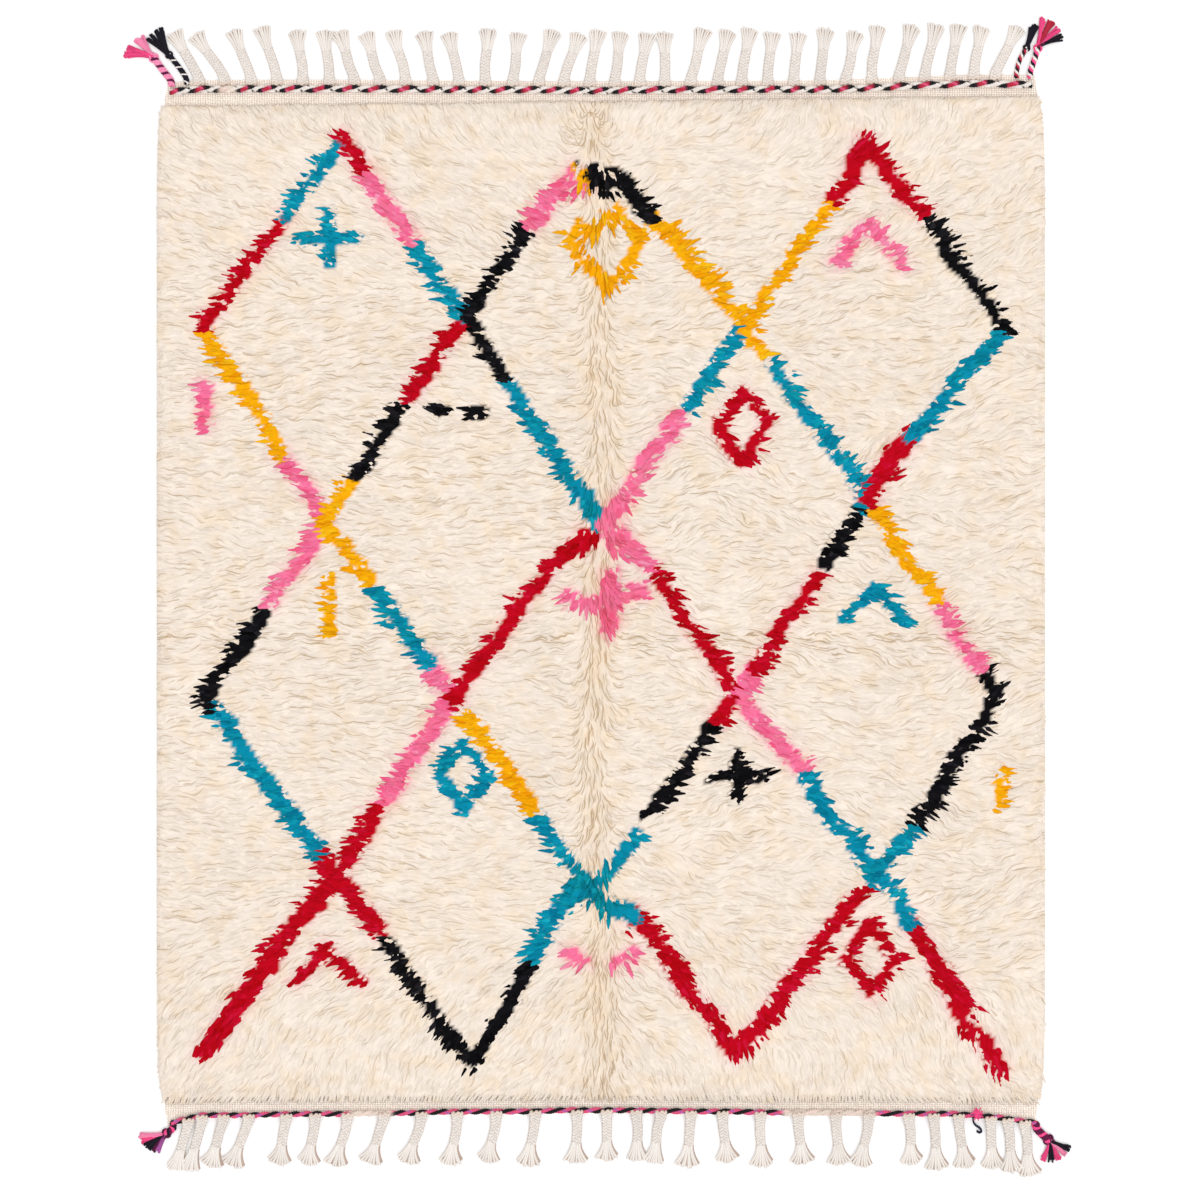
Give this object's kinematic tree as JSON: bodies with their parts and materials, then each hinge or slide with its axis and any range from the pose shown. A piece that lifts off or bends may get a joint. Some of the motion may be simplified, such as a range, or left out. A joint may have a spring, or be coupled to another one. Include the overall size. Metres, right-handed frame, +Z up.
{
  "type": "beni ourain rug",
  "caption": "Hand-knotted wool shag rug with flat-woven ends, plaited warp fringes, twined edge cords and corner tassels, lying flat as a soft floor covering.",
  "frame": {"origin": "middle of the rug's outline, fringes and tassels included, on the floor that it lies on", "axes": "+Z up out of the pile, +Y along the rug towards the end with the thirty-two plaits, +X across it"},
  "size_m": [1.613, 1.979, 0.0293],
  "materials": {
    "shag": "long combed undyed cream wool pile with knotted lines in red, blue, pink, saffron and black wool",
    "warp_yarn": "off-white flat weave and plaited off-white yarn ends",
    "cord_yarn": "black, red-pink and white yarns twined in slanting strokes",
    "pink_yarn": "soft hot pink plied wool yarn",
    "black_yarn": "soft blue-black plied wool yarn"
  },
  "bodies": {
    "root": {"shag_field": "shag", "fringe_top": "warp_yarn", "fringe_bottom": "warp_yarn", "edge_cord_top": "cord_yarn", "edge_cord_bottom": "cord_yarn", "tassel_top_left_pink": "pink_yarn", "tassel_top_left_black": "black_yarn", "tassel_top_right_black": "black_yarn", "tassel_top_right_pink": "pink_yarn", "tassel_bottom_left": "pink_yarn", "tassel_bottom_right": "pink_yarn", "splice_curl": "black_yarn", "splice_tuft": "pink_yarn"}
  },
  "joints": []
}
